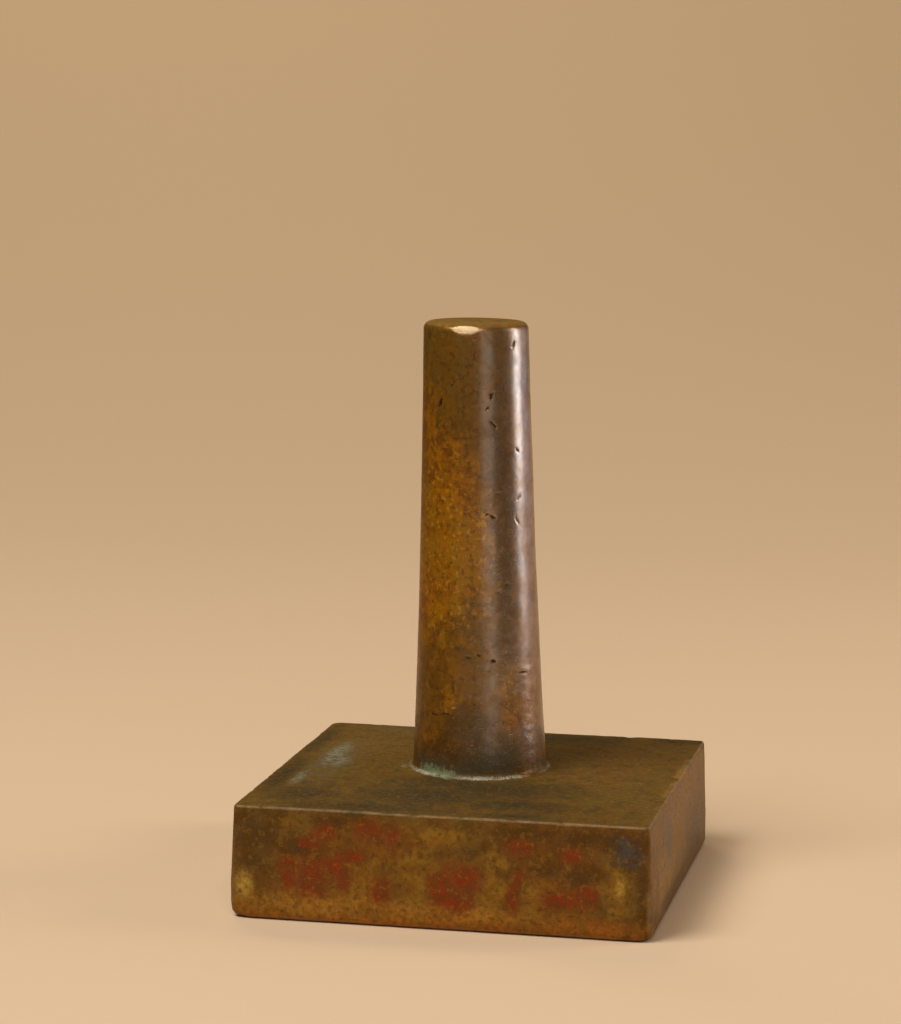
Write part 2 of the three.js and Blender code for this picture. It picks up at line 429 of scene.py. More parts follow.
def spread_lines(edges, reach, cells):
    """Grid lines on both slopes of every stroke edge, with more put in the widest gaps."""
    lines = {-reach, reach, -reach + SHOULDER, reach - SHOULDER}
    lines |= {-reach + SHOULDER + WALL, reach - SHOULDER - WALL}
    for edge, into_stroke in edges:
        lines |= {edge, edge + SHOULDER * into_stroke, edge - WALL * into_stroke}
    lines = sorted({round(line, 4) for line in lines})
    while len(lines) < cells + 1:
        gaps = [after - before for before, after in zip(lines, lines[1:])]
        widest = gaps.index(max(gaps))
        lines.insert(widest + 1, (lines[widest] + lines[widest + 1]) / 2)
    return np.array(lines)


def face_grid():
    """The seal face inside its border, as a grid of points."""
    rectangles = stroke_rectangles()
    bars = [r for r in rectangles if r[3] - r[1] < STROKE_WIDTH + 0.01]
    reach = FIELD_WIDTH / 2 + SHOULDER
    edges_x = {(r[0], 1) for r in rectangles} | {(r[2], -1) for r in rectangles}
    edges_y = {(r[1], 1) for r in bars} | {(r[3], -1) for r in bars}
    lines_x = spread_lines(edges_x, reach, CELLS_PER_SIDE)
    lines_y = spread_lines(edges_y, reach, CELLS_PER_SIDE)
    x, y = np.meshgrid(lines_x, lines_y, indexing="ij")
    inside = np.maximum(np.abs(x), np.abs(y)) - FIELD_WIDTH / 2
    for low_x, low_y, high_x, high_y in rectangles:
        along = np.minimum(x - low_x, high_x - x)
        across = np.minimum(y - low_y, high_y - y)
        inside = np.maximum(inside, np.minimum(along, across))
    # The profile of every edge, from the sunk field up its wall to the flat of the stroke
    height = np.interp(
        inside,
        [-2.2 * WALL, -WALL, 0, SHOULDER],
        [RELIEF_DEPTH, 0.95 * RELIEF_DEPTH, 0.07 * RELIEF_DEPTH, 0],
    )
    return np.stack([x, y, height], axis=2)


def handle_rings():
    """From the middle of the handle's top out, down the shaft and through the fillet."""
    rings = []
    for i in range(1, TOP_DISC_RINGS + 1):
        share = i / (TOP_DISC_RINGS + 1)
        height = HANDLE_HEIGHT - DISH * (1 - share**4)
        rings.append(handle_ring(RIM_CENTRE * share, height, HANDLE_COLUMNS))
    for i in range(RIM_RINGS + 1):
        angle = math.pi / 2 * (1 - i / RIM_RINGS)
        radius = RIM_CENTRE + RIM_RADIUS * math.cos(angle)
        height = SHAFT_TOP + RIM_RADIUS * math.sin(angle)
        rings.append(handle_ring(radius, height, HANDLE_COLUMNS))
    for i in range(1, SHAFT_RINGS):
        height = SHAFT_TOP + (FILLET_RADIUS - SHAFT_TOP) * i / SHAFT_RINGS
        rings.append(handle_ring(handle_radius(height), height, HANDLE_COLUMNS))
    for i in range(FILLET_RINGS + 1):
        angle = math.pi / 2 * (1 - i / FILLET_RINGS)
        radius = FILLET_CENTRE - FILLET_RADIUS * math.sin(angle)
        height = FILLET_RADIUS * (1 - math.cos(angle))
        rings.append(handle_ring(radius, height, HANDLE_COLUMNS))
    return rings


def plate_rings():
    """Across the plate's top, where the rings turn from round to square, down and under."""
    clear_of_fillet = 0.4
    crowding = 0.35  # the rings on top lie closer together towards the plate's edge
    rings = []
    round_ring = handle_ring(FILLET_CENTRE + clear_of_fillet, 0, 4 * CELLS_PER_SIDE)
    square_ring = with_height(plate_outline(PLATE_BATTER + TOP_EDGE_RADIUS), PLATE_HEIGHT)
    for i in range(PLATE_TOP_RINGS):
        share = i / PLATE_TOP_RINGS
        share = share + crowding * share * (1 - share)
        rings.append(round_ring * (1 - share) + square_ring * share)
    for i in range(EDGE_RINGS):
        angle = math.pi / 2 * i / (EDGE_RINGS - 1)
        inset = PLATE_BATTER + TOP_EDGE_RADIUS * (1 - math.sin(angle))
        height = PLATE_HEIGHT - TOP_EDGE_RADIUS * (1 - math.cos(angle))
        rings.append(with_height(plate_outline(inset), height))
    side_top = PLATE_HEIGHT - TOP_EDGE_RADIUS
    for i in range(1, SIDE_RINGS):
        height = side_top + (BOTTOM_EDGE_RADIUS - side_top) * i / SIDE_RINGS
        inset = PLATE_BATTER * max(0, (height - BATTERS_FROM) / (side_top - BATTERS_FROM))
        rings.append(with_height(plate_outline(inset), height))
    for i in range(EDGE_RINGS + 1):
        angle = math.pi / 2 * i / EDGE_RINGS
        inset = BOTTOM_EDGE_RADIUS * (1 - math.cos(angle))
        height = BOTTOM_EDGE_RADIUS * (1 - math.sin(angle))
        rings.append(with_height(plate_outline(inset), height))
    return rings


def faces_between(upper, upper_count, lower, lower_count):
    """Faces from one ring to the next one out, which has as many points, or twice as many."""
    faces = []
    for i in range(upper_count):
        after = (i + 1) % upper_count
        if upper_count == lower_count:
            faces.append((upper + i, lower + i, lower + after, upper + after))
            continue
        middle = lower + 2 * i + 1
        faces.append((upper + i, lower + 2 * i, middle, upper + after))
        faces.append((upper + after, middle, lower + (2 * i + 2) % lower_count))
    return faces


def build_skin():
    """The whole seal as one closed skin, before wear: its points and its faces."""
    cells = CELLS_PER_SIDE
    grid = face_grid()
    rim = [(i, 0) for i in range(cells)]
    rim += [(cells, j) for j in range(cells)]
    rim += [(i, cells) for i in range(cells, 0, -1)]
    rim += [(0, j) for j in range(cells, 0, -1)]

    # The last rings cross the border of the seal face, to just outside the rim of its grid
    rings = handle_rings() + plate_rings()
    outer = rings[-1]
    inner = np.array([grid[place] * (1, 1, 0) for place in rim])
    for i in range(1, BORDER_RINGS + 1):
        share = i / (BORDER_RINGS + 1)
        rings.append(outer * (1 - share) + inner * share)
    faces = [(0, 1 + i, 1 + (i + 1) % HANDLE_COLUMNS) for i in range(HANDLE_COLUMNS)]
    start = 1
    for upper, lower in zip(rings, rings[1:]):
        faces += faces_between(start, len(upper), start + len(upper), len(lower))
        start += len(upper)

    # The grid itself, joined to the last ring
    first = start + len(rim)
    across = cells + 1
    on_rim = [first + i * across + j for i, j in rim]
    for i in range(len(rim)):
        after = (i + 1) % len(rim)
        faces.append((start + i, on_rim[i], on_rim[after], start + after))
    for i in range(cells):
        for j in range(cells):
            corner = first + i * across + j
            faces.append((corner, corner + 1, corner + across + 1, corner + across))
    top_x = HANDLE_FOOT[0] + HANDLE_LEAN * HANDLE_HEIGHT
    top = np.array([[top_x, HANDLE_FOOT[1], TOTAL_HEIGHT - DISH]])
    return np.concatenate([top, *rings, grid.reshape(-1, 3)]), faces


def inscription_strokes():
    """The rows of short strokes on the plate's top: both ends of each, and its depth."""
    chance = np.random.default_rng(11)
    strokes = []
    for row_x, start, end, depth in STROKE_ROWS:
        places = int((end - start) / STROKE_PITCH)
        for place in range(places):
            middle = np.array([row_x, start + (place + 0.5) * STROKE_PITCH, PLATE_HEIGHT])
            middle[0] += chance.uniform(-0.7, 0.7)
            turned = STROKE_ANGLES[place % len(STROKE_ANGLES)] + chance.uniform(-8, 8)
            angle = math.radians(turned)
            half_length = chance.uniform(0.6, 1.1)
            way = np.array([math.cos(angle), math.sin(angle), 0]) * half_length
            strokes.append((middle - way, middle + way, depth * chance.uniform(0.5, 1.0)))
    return strokes


def pit_bowls():
    """The handle's pits, each a ragged row of small bowls: place, radius and depth of each."""
    chance = np.random.default_rng(7)
    bowls = []
    for azimuth, up, half_width, half_length, slant, depth in PITS:
        turn = math.radians(slant)
        count = 1 + 2 * round(half_length / half_width)
        for share in np.linspace(-1, 1, count):
            along = share * half_length
            across = chance.uniform(-0.4, 0.4) * half_width
            sideways = along * math.cos(turn) - across * math.sin(turn)
            upwards = along * math.sin(turn) + across * math.cos(turn)
            place = on_handle(azimuth + math.degrees(sideways / handle_radius(up)), up + upwards)
            size = chance.uniform(0.8, 1.25) * half_width * (1.5 - 0.5 * abs(share))
            bowls.append((place, size, depth * chance.uniform(0.5, 1.0)))
    return bowls


def refine(mesh, marks, cuts):
    """Divides the faces near each mark, given as its place and its reach, more finely."""
    work = bmesh.new()
    work.from_mesh(mesh)
    centres = np.array([face.calc_center_median() for face in work.faces]) / MM
    near = np.zeros(len(centres), bool)
    for place, reach in marks:
        near |= np.linalg.norm(centres - place, axis=1) < reach
    work.faces.ensure_lookup_table()
    edges = {edge for index in np.flatnonzero(near) for edge in work.faces[index].edges}
    edges = sorted(edges, key=lambda edge: edge.index)
    bmesh.ops.subdivide_edges(work, edges=edges, cuts=cuts, use_grid_fill=True)
    work.to_mesh(mesh)
    work.free()


def placed(name, data):
    """A new object that holds the data, linked into the scene."""
    thing = bpy.data.objects.new(name, data)
    bpy.context.scene.collection.objects.link(thing)
    return thing


# Soft shapes and noise, laid over points of the skin

def ramp(value, zero_at, one_at):
    """Evenly from 0 to 1 as the value goes from one bound to the other, and level beyond them."""
    return np.clip((value - zero_at) / (one_at - zero_at), 0, 1)


def oval(across, up, half_width, half_height):
    """1 in the middle of an oval, falling evenly through 0.5 on its outline to 0."""
    return np.clip(1 - 0.5 * np.hypot(across / half_width, up / half_height), 0, 1)


def bowl(points, place, radius):
    """1 in the middle of a round hollow, 0 at its edge and outside."""
    reach = np.linalg.norm(points - place, axis=1) / radius
    return np.where(reach < 1, (1 - reach**2) ** 2, 0)


def groove(points, start, end, half_width):
    """1 along the middle of a straight scratch, 0 at its edge and outside."""
    way = end - start
    share = np.clip((points - start) @ way / (way @ way), 0, 1)
    reach = np.linalg.norm(points - start - share[:, None] * way, axis=1) / half_width
    return np.where(reach < 1, (1 - reach**2) ** 2, 0)


def unevenness(points, size, seed):
    """Smooth noise from about -1 to 1 over the points, with bumps of the size given. Each seed
    looks at the noise somewhere else."""
    gain = 1.6
    shift = Vector((seed * 31.7, seed * 17.3, seed * 11.9))
    return np.array([gain * noise.noise(Vector(point) / size + shift) for point in points])


# Wear

def cast_skin(points, normals, height, is_handle):
    """How far each point stands proud of the smooth form, as casting and use have left it."""
    swell = unevenness(points, 15, 1)
    ripple = unevenness(points, 5, 2)
    grain = unevenness(points, 1.7, 3)
    # Hands have smoothed the handle, and the less the nearer its foot
    rough = np.where(is_handle, np.clip(1 - height / 30, 0.3, 1), 1)
    uneven = 0.05 * swell + rough * (0.025 * ripple + 0.012 * grain)
    # The plate's sides and the seal face only sink in, so that they stay inside the solid's box
    side_move = -0.04 * (1 + swell) - 0.02 * (1 + ripple) - 0.01 * (1 + grain)
    in_field = points[:, 2] > 0.5
    face_move = -0.03 * (1 + ripple) - 0.05 * (1 + grain) * in_field
    is_top = (np.abs(height) < 0.3) & (normals[:, 2] > 0.9)
    from_middle = np.maximum(np.abs(points[:, 0]), np.abs(points[:, 1]))
    is_face = (points[:, 2] < RELIEF_DEPTH + 0.1) & (from_middle < FIELD_WIDTH / 2)
    return np.where(is_handle | is_top, uneven, np.where(is_face, face_move, side_move))


def foot_crust(points, height, azimuth, from_axis):
    """Corrosion in the corner where the handle meets the plate, from 0 to 1."""
    corner_radius = handle_radius(FILLET_RADIUS) + 0.4 * FILLET_RADIUS
    corner_height = 0.2 * FILLET_RADIUS
    flattening = 0.7  # the crust reaches further up and down than out and in
    from_corner = np.hypot(from_axis - corner_radius, (height - corner_height) * flattening)
    crust = ramp(from_corner, CRUST_OUTSIDE, CRUST_INSIDE) * (height > -0.3)
    crust *= np.clip(1.2 - np.abs(azimuth - CRUSTIEST) / 90, 0.4, 1)
    crust *= np.clip(0.65 + 0.4 * unevenness(points, 5, 9), 0.25, 0.8)
    return crust


def ripples(points, height, azimuth):
    """How high the ripples low on the handle stand. They are longer than they are high."""
    at, up, half_turn, half_height, size, tallest = RIPPLED
    waves = unevenness(points * (0.6, 0.6, 1.6), size, 6)
    return tallest * oval(azimuth - at, height - up, half_turn, half_height) * waves


def hollows(points):
    """How deep pits, dashes and strokes have sunk each point, and how much dirt lies there."""
    sunk = np.zeros(len(points))
    dirt = np.zeros(len(points))
    for place, radius, depth in pit_bowls():
        pit = bowl(points, place, radius)
        sunk += depth * pit
        dirt = np.maximum(dirt, pit * min(1, 0.5 + depth / 0.3))
    for start_azimuth, start_up, end_azimuth, end_up, half_width, depth in DASHES:
        start = on_handle(start_azimuth, start_up)
        end = on_handle(end_azimuth, end_up)
        dash = groove(points, start, end, half_width)
        sunk += depth * dash
        dirt = np.maximum(dirt, dash)
    for start, end, depth in inscription_strokes():
        stroke = groove(points, start, end, STROKE_HALF_WIDTH)
        sunk += depth * stroke
        dirt = np.maximum(dirt, 0.5 * stroke)
    return sunk, dirt


def edge_nicks():
    """Knocks along the plate's edges: place, radius, depth and the way the metal went."""
    chance = np.random.default_rng(5)
    half = PLATE_WIDTH / 2
    lean = 0.7  # metal goes in and down, or in and up, at about 45 degrees
    nicks = []
    for side in range(4):
        turn = Matrix.Rotation(side * math.pi / 2, 3, "Z")
        for level, out, count, rise in (
            (PLATE_HEIGHT, half - PLATE_BATTER, TOP_NICKS, -lean),
            (0, half, FOOT_NICKS, lean),
        ):
            for _ in range(count):
                along = chance.uniform(-half + 2, half - 2)
                place = np.array(turn @ Vector((along, -out, level)))
                inward = np.array(turn @ Vector((0, lean, rise)))
                depth = chance.uniform(0.04, 0.2) * chance.uniform(0.4, 1)
                nicks.append((place, chance.uniform(0.5, 1.5), depth, inward))
        for _ in range(CORNER_NICKS):
            height = chance.uniform(1, PLATE_HEIGHT - 0.5)
            place = np.array(turn @ Vector((half - 0.3, -half + 0.3, height)))
            inward = np.array(turn @ Vector((-lean, lean, 0)))
            nicks.append((place, chance.uniform(0.5, 1.2), chance.uniform(0.05, 0.2), inward))
    for x, y, reach, depth in WORN_CORNERS:
        inward = np.array([-0.6 * np.sign(x), -0.6 * np.sign(y), 0.5])
        nicks.append((np.array([x, y, 0.0]), reach, depth, inward))
    return nicks


def worn_and_lit_edges(points):
    """How near each point is to one of the plate's edges, from 0 to 1. The wear reaches further
    from the rounder edges at the foot and at the corners. Along the top edges the pale tint it
    gets is partly wear and partly a painted highlight."""
    half = PLATE_WIDTH / 2
    side_x = half - np.abs(points[:, 0])
    side_y = half - np.abs(points[:, 1])
    sides = np.minimum(side_x, side_y)
    top = PLATE_HEIGHT - points[:, 2]
    on_plate = points[:, 2] < PLATE_HEIGHT + 0.01
    top_edge = np.hypot(np.maximum(sides - PLATE_BATTER, 0), top)
    foot_edge = np.hypot(sides, points[:, 2]) * 0.55
    upright_edge = np.hypot(side_x, side_y) * 0.45
    nearest = np.minimum(np.minimum(top_edge, foot_edge), upright_edge)
    return ramp(nearest, 0.55, 0.05) * on_plate


def worn_rim(points, is_handle):
    """The points once the flats on the handle's rim are cut, and how worn each is there."""
    worn = np.zeros(len(points))
    for azimuth, tilt, depth in RIM_FLATS:
        turn, rise = math.radians(azimuth), math.radians(tilt)
        facing = np.array([
            math.sin(turn) * math.cos(rise), -math.cos(turn) * math.cos(rise), math.sin(rise)
        ])
        centre = np.array([
            HANDLE_FOOT[0] + HANDLE_LEAN * HANDLE_HEIGHT + RIM_CENTRE * math.sin(turn),
            HANDLE_FOOT[1] - RIM_CENTRE * math.cos(turn),
            PLATE_HEIGHT + SHAFT_TOP,
        ])
        proud = (points - centre) @ facing - (RIM_RADIUS - depth)
        proud = np.clip(proud, 0, None) * is_handle
        points = points - FLAT_SHARE * proud[:, None] * facing
        worn = np.maximum(worn, ramp(proud, 0, FULLY_WORN))
    return points, worn


def wear_down(mesh):
    """Moves the skin's points as casting, knocks and handling have. Gives their new places, and
    how hollow, crusted and worn each is."""
    count = len(mesh.vertices)
    points = np.empty(count * 3)
    mesh.vertices.foreach_get("co", points)
    points = points.reshape(-1, 3) / MM
    normals = np.empty(count * 3, np.float32)
    mesh.vertex_normals.foreach_get("vector", normals)
    normals = normals.reshape(-1, 3).astype(float)
    height, azimuth, from_axis = round_the_handle(points)
    is_handle = height > HANDLE_FROM

    crust = foot_crust(points, height, azimuth, from_axis)
    lumps = np.clip(unevenness(points, 1.2, 4) + 0.4, 0, 1)
    sunk, dirt = hollows(points)
    move = cast_skin(points, normals, height, is_handle)
    move += CRUST_HEIGHT * crust * lumps
    move += ripples(points, height, azimuth) * is_handle
    move -= sunk
    points += move[:, None] * normals

    for place, radius, depth, inward in edge_nicks():
        points += (depth * bowl(points, place, radius))[:, None] * inward
    worn = worn_and_lit_edges(points)
    points, rim_worn = worn_rim(points, is_handle)

    # Nothing stands out of the solid's box
    points = np.clip(points, np.array(cad_low) / MM, np.array(cad_high) / MM)
    mesh.vertices.foreach_set("co", (points * MM).ravel())
    mesh.update()
    # The wear mask also carries a painted highlight along the plate's top edges
    return points, {"hollow": dirt, "crust": crust, "wear": np.maximum(worn, rim_worn)}


# Colour, laid on the skin as one soft mask for each finish

def away_from(azimuth, at):
    """Degrees from one direction round the handle to another, from -180 to 180."""
    return (azimuth - at + 180) % 360 - 180


def polish(height, azimuth):
    """How glossy the handle is. Hands have polished it more on its right than on its left, and
    neither its rim nor its foot."""
    turned = np.abs(away_from(azimuth, GLOSSIEST))
    below_rim = ramp(height, HANDLE_HEIGHT - 0.2, HANDLE_HEIGHT - 1.4)
    above_foot = ramp(height, 1.2, 7.2)
    handled_side = ramp(turned, 128, 83)
    right = ramp(turned, 60, 35)
    below_grip = ramp(height, 60, 20)
    return handled_side * (1 - 0.5 * right * below_grip) * below_rim * above_foot


def paint_masks(points):
    """Soft masks over the points: one for each finish, and some that say where a point is."""
    x, y, z = points.T
    height, azimuth, from_axis = round_the_handle(points)
    is_handle = (height > HANDLE_FROM) & (from_axis < handle_radius(0) + FILLET_RADIUS)

    def on_shaft(at, up, half_width, half_height):
        across = np.radians(away_from(azimuth, at)) * handle_radius(height)
        return oval(across, height - up, half_width, half_height) * is_handle

    def on_side(side, at, up, half_width, half_height):
        turn = side * math.pi / 2
        along = x * math.cos(turn) + y * math.sin(turn)
        depth = PLATE_WIDTH / 2 - (x * math.sin(turn) - y * math.cos(turn))
        near = ramp(depth, 2.5, 1.5) * (height < 0.01)
        return oval(along - at, z - up, half_width, half_height) * near

    def on_top(at_x, at_y, half_width, half_depth):
        return oval(x - at_x, y - at_y, half_width, half_depth) * (np.abs(height) < 0.6)

    masks = {}
    for lay, group in ((on_shaft, HANDLE_PATCHES), (on_side, SIDE_PATCHES), (on_top, TOP_PATCHES)):
        for name, patches in group.items():
            for patch in patches:
                masks[name] = np.maximum(masks.get(name, 0), lay(*patch))

    # Seal paste stays in the sunk field of the face
    sunk = ramp(z, 0, RELIEF_DEPTH) * (z < RELIEF_DEPTH + 0.1)
    in_field = np.maximum(np.abs(x), np.abs(y)) < FIELD_WIDTH / 2
    masks["red"] = np.maximum(masks["red"], PASTE_IN_FIELD * sunk * in_field)
    # The plate's top and the end of the handle are dull
    end = ramp(height, HANDLE_HEIGHT - 0.7, HANDLE_HEIGHT - 0.2)
    masks["is_top"] = np.maximum(ramp(np.abs(height), 0.5, 0), end)
    masks["gloss"] = polish(height, azimuth) * (1 - 0.8 * masks.pop("matt"))
    masks["near_foot"] = ramp(height, 28, 0) * is_handle
    return masks


def seal_object():
    points, faces = build_skin()
    mesh = bpy.data.meshes.new("old_bronze_seal")
    mesh.from_pydata((points * MM).tolist(), [], faces)
    mesh.update()
    strokes = inscription_strokes()
    refine(mesh, [((start + end) / 2, STROKE_REACH) for start, end, _ in strokes], 2)
    refine(mesh, [(place, radius + PIT_MARGIN) for place, radius, _ in pit_bowls()], 1)
    mesh.shade_smooth()
    points, marks = wear_down(mesh)
    for name, values in (paint_masks(points) | marks).items():
        layer = mesh.attributes.new(name, "FLOAT", "POINT")
        layer.data.foreach_set("value", values.astype(np.float32))
    return placed("old_bronze_seal", mesh)


# Materials

class Recipe:
    """Writes a bronze's nodes with short calls, most of which give back an output socket. It
    keeps the colour, share of bare metal and roughness of what has been laid on so far."""

    def __init__(self, name, metallic, roughness):
        self.material = bpy.data.materials.new(name)
        self.material.use_nodes = True
        self.tree = self.material.node_tree
        coordinates = self.add("TexCoord", {}).outputs["Object"]
        scaled = self.add("VectorMath", {0: coordinates, "Scale": 1 / MM}, operation="SCALE")
        self.place = scaled.outputs[0]
        stretched = self.add("Mapping", {"Vector": self.place, "Scale": (0.9, 0.9, 5.5)})
        # Noises that the finishes share, from broad clouds to fine grain
        self.broad = self.clouds(11, 5)
        self.mottle = self.clouds(2.6, 6, distortion=0.4)
        self.small = self.clouds(0.9, 5)
        self.grain = self.clouds(0.28, 3)
        self.dashes = self.clouds(1.0, 3, stretched.outputs[0])
        self.colour = None
        self.metallic = metallic
        self.roughness = roughness

    def fill(self, node, inputs):
        """Links each input that is given an output socket, and sets the others."""
        for name, value in inputs.items():
            socket = node.inputs[name]
            if isinstance(value, bpy.types.NodeSocket):
                self.tree.links.new(value, socket)
            else:
                socket.default_value = (*value, 1) if socket.type == "RGBA" else value

    def add(self, kind, inputs, **settings):
        node = self.tree.nodes.new("ShaderNode" + kind)
        for name, value in settings.items():
            setattr(node, name, value)
        self.fill(node, inputs)
        return node

    def clouds(self, size, detail, place=None, distortion=0.0):
        """Three noises at once, each round 0.5, with forms of the size given in millimetres."""
        inputs = {"Vector": place or self.place, "Scale": 1 / size, "Detail": detail}
        inputs |= {"Roughness": 0.55, "Distortion": distortion}
        cloud = self.add("TexNoise", inputs)
        return self.add("SeparateColor", {0: cloud.outputs["Color"]}).outputs[:3]

    def mask(self, name):
        return self.add("Attribute", {}, attribute_name=name).outputs["Fac"]

    def math(self, operation, *values):
        return self.add("Math", dict(enumerate(values)), operation=operation).outputs[0]

    def times(self, first, second):
        return self.math("MULTIPLY", first, second)

    def step(self, value, low, high, from_value=0.0, to_value=1.0):
        """Smoothly from one value to another as the input rises from low to high."""
        inputs = {"Value": value, "From Min": low, "From Max": high}
        inputs |= {"To Min": from_value, "To Max": to_value}
        return self.add("MapRange", inputs, interpolation_type="SMOOTHSTEP").outputs[0]

    def blend(self, share, first, second):
        return self.add("Mix", {0: share, 6: first, 7: second}, data_type="RGBA").outputs[2]

    def blend_value(self, share, first, second):
        return self.add("Mix", {0: share, 2: first, 3: second}, data_type="FLOAT").outputs[0]

    def ragged(self, mask, noise_value, amount, softness):
        """A soft mask with its outline broken up by noise, but still 0 where the mask is 0."""
        shifted = self.math("MULTIPLY_ADD", noise_value, amount, -0.5 * amount)
        share = self.step(self.math("ADD", mask, shifted), 0.5 - softness, 0.5 + softness)
        return self.times(share, self.step(mask, 0.02, 0.3))

    def tint(self, share, colour, strength=1.0):
        """Lays a colour over what is there, by a share from 0 to 1 of its strength."""
        self.colour = self.blend(self.times(share, strength), self.colour, colour)

    def sheen(self, share, metallic, roughness):
        """Turns the surface towards a share of bare metal and a roughness."""
        self.metallic = self.blend_value(share, self.metallic, metallic)
        self.roughness = self.blend_value(share, self.roughness, roughness)


def lay_body(r, polished):
    """The body: brown, on the plate in places redder, clouded darker. The plate's top and the
    handle's end have an old dull patina that no hand has polished."""
    if polished:
        r.colour = BROWN
    else:
        r.colour = r.blend(r.step(r.broad[0], 0.4, 0.6), RED_BROWN, PLATE_BROWN)
    r.tint(r.step(r.mottle[0], 0.42, 0.66), UMBER, 0.65)
    if polished:
        r.tint(r.step(r.mottle[1], 0.5, 0.66), STRAW, 0.5)
    top_colour = r.blend(r.step(r.broad[1], 0.4, 0.6), TOP_BROWN, TOP_OLIVE)
    top_colour = r.blend(r.step(r.mottle[0], 0.45, 0.7, 0, 0.6), top_colour, TOP_DARK)
    top_colour = r.blend(r.step(r.small[2], 0.5, 0.62, 0, 0.4), top_colour, TOP_DARK)
    r.tint(r.mask("is_top"), top_colour)


def lay_finishes(r, polished):
    """The finishes that lie on the body, in their order. The tan finish is a painted sheen, and the
    dark and moss finishes are in places painted shade.
    """
    if polished:
        ochre, straw, rust = OCHRE, STRAW, RUST
    else:
        ochre, straw, rust = PLATE_OCHRE, PLATE_STRAW, OLD_RUST
    mottle = r.mottle
    small = r.small
    # Mask name, two colours and the noise that mixes them, raggedness, softness, strength, share
    # of bare metal and roughness
    finishes = (
        ("olive", OLIVE, BROWN, mottle[1], 1.8, 0.4, 0.7, 0.5, 0.36),
        ("haze", TOP_HAZE, TOP_OLIVE, mottle[1], 2.0, 0.4, 0.8, 0.0, 0.7),
        ("shade", TOP_SHADE, TOP_DARK, mottle[0], 1.8, 0.45, 0.9, 0.0, 0.7),
        ("bloomed", TOP_BLOOM, TOP_HAZE, small[1], 2.4, 0.3, 0.8, 0.0, 0.85),
        # The tan finish is a painted sheen.
        ("tan", TAN_SHEEN, PLATE_OCHRE, mottle[1], 1.8, 0.45, 0.85, 0.2, 0.5),
        ("ochre", ochre, straw, mottle[1], 2.4, 0.35, 0.85, 0.45, 0.42),
        ("rust", rust, ochre, mottle[2], 2.4, 0.35, 0.7, 0.4, 0.42),
        # The dark finish is dark patina; on the handle it is also painted shade and a painted dark
        # reflection.
        ("dark", SOOT_AND_SHADE, UMBER, mottle[0], 2.0, 0.35, 0.8, 0.4, 0.42),
        ("blue", BLUE_BLACK, STEEL, mottle[2], 2.0, 0.35, 0.8, 0.3, 0.4),
        ("copper", COPPER, ochre, mottle[1], 2.4, 0.35, 0.7, 0.6, 0.36),
        ("band", BAND, ochre, mottle[1], 2.4, 0.45, 0.8, 0.3, 0.5),
        ("red", PASTE, OLD_PASTE, mottle[2], 1.8, 0.28, 0.92, 0.05, 0.6),
        ("pale", PALE, straw, small[1], 2.2, 0.35, 0.85, 0.1, 0.6),
        # The moss finish is green corrosion and also painted shade by the handle's foot.
        ("moss", MOSS_AND_SHADE, SOOT_AND_SHADE, small[0], 2.2, 0.4, 0.9, 0.1, 0.7),
    )
    fine = r.blend_value(0.4, small[0], r.grain[2])
    for name, first, second, mixer, amount, softness, strength, metallic, roughness in finishes:
        share = r.ragged(r.mask(name), r.blend_value(0.3, mixer, fine), amount, softness)
        share = r.times(share, strength)
        mixed = r.step(r.blend_value(0.4, mixer, small[2]), 0.42, 0.58)
        r.tint(share, r.blend(mixed, first, second))
        r.sheen(share, metallic, roughness)


def lay_specks(r, polished):
    """Fine specks all over, darker and lighter, and small dark pores and scratches. Gives where
    the pores and the scratches are."""
    r.tint(r.step(r.small[1], 0.5, 0.66), UMBER, 0.6)
    flecks = r.step(r.small[0], 0.56, 0.64)
    flecks = r.math("MAXIMUM", flecks, r.step(r.grain[1], 0.57, 0.67, 0, 0.8))
    if polished:
        flecked = r.step(r.mask("ochre"), 0.1, 0.7, 0.12, 0.6)
        r.tint(r.times(flecks, flecked), FLECK)
    else:
        flecked = r.step(r.mask("is_top"), 0.2, 0.8, 0.32, 0.2)
        r.tint(r.times(flecks, flecked), PLATE_STRAW)
    pores = r.step(r.small[1], 0.66, 0.74)
    scratches = r.step(r.dashes[0], 0.62, 0.72)
    r.tint(r.math("MAXIMUM", pores, scratches), DIRT, 0.3)
    return pores, scratches


def lay_wear_and_highlight(r, polished):
    """Edges worn to bare metal: in spots on the handle's rim, all along the plate's edges. Along
    the plate's top edges the pale tint is also a painted highlight.
    """
    spots = r.blend_value(0.5, r.mottle[1], r.small[2])
    if polished:
        worn = r.ragged(r.mask("wear"), spots, 1.6, 0.4)
        r.tint(worn, BRASS_AND_HIGHLIGHT, 0.4)
        r.sheen(worn, 0.8, 0.44)
    else:
        worn = r.ragged(r.mask("wear"), spots, 1.0, 0.45)
        r.tint(worn, BRASS_AND_HIGHLIGHT, 0.36)
        r.sheen(worn, 0.3, 0.55)
    return worn


def lay_corrosion(r):
    """Green stains, and a thin pale crust round the handle's foot."""
    stained = r.ragged(r.mask("green"), r.blend_value(0.5, r.small[0], r.grain[0]), 2.8, 0.35)
    r.tint(stained, VERDIGRIS, 0.7)
    crusted = r.ragged(r.mask("crust"), r.blend_value(0.5, r.small[2], r.grain[0]), 2.6, 0.45)
    r.tint(crusted, BLOOM, 0.8)
    corroded = r.math("MAXIMUM", stained, crusted)
    r.sheen(corroded, 0.0, 0.85)
    return corroded


